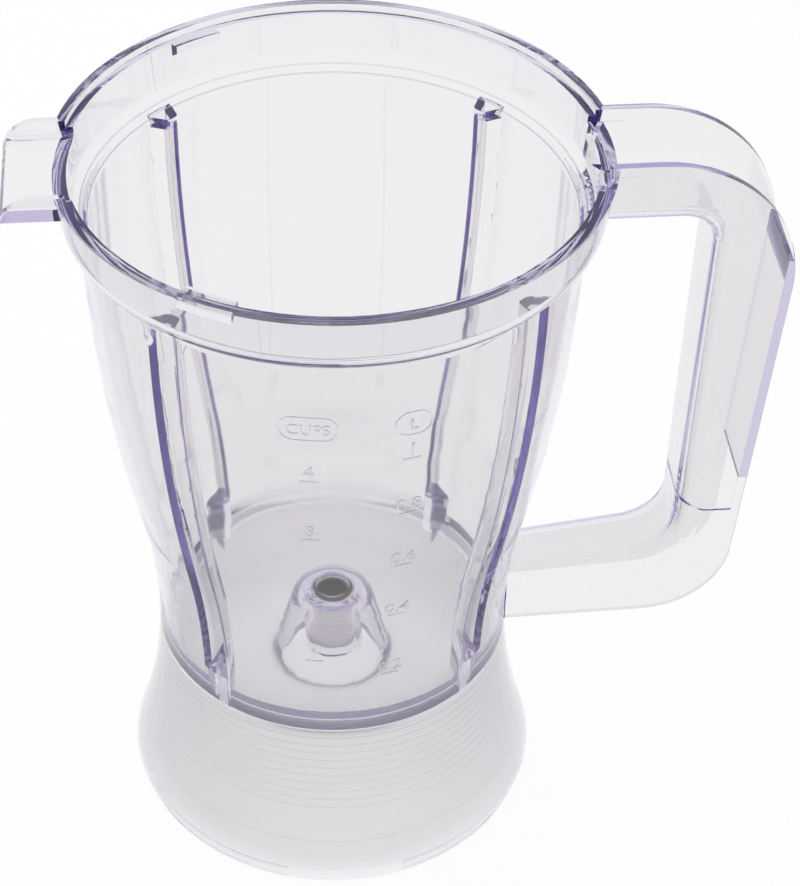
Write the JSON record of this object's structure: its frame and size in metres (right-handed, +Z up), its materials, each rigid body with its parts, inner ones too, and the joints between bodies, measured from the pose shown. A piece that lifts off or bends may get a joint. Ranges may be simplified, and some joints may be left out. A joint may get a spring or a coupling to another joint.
{
  "type": "blender jar",
  "caption": "Clear blender jar with a waisted ribbed body, pouring spout, hollow loop handle, flared hollow foot and a metal bush for the knife shaft.",
  "frame": {"origin": "on the jar's axis, in the plane of the pads that it stands on", "axes": "+Z up along the jar's axis, +X towards the handle, -X towards the spout"},
  "size_m": [0.1989, 0.1412, 0.2115],
  "materials": {
    "clear_plastic": "clear, polished, faintly violet at the edges",
    "bush_metal": "turned, dull"
  },
  "bodies": {
    "root": {"jar_body": "clear_plastic", "shaft_bush": "bush_metal"}
  },
  "joints": []
}
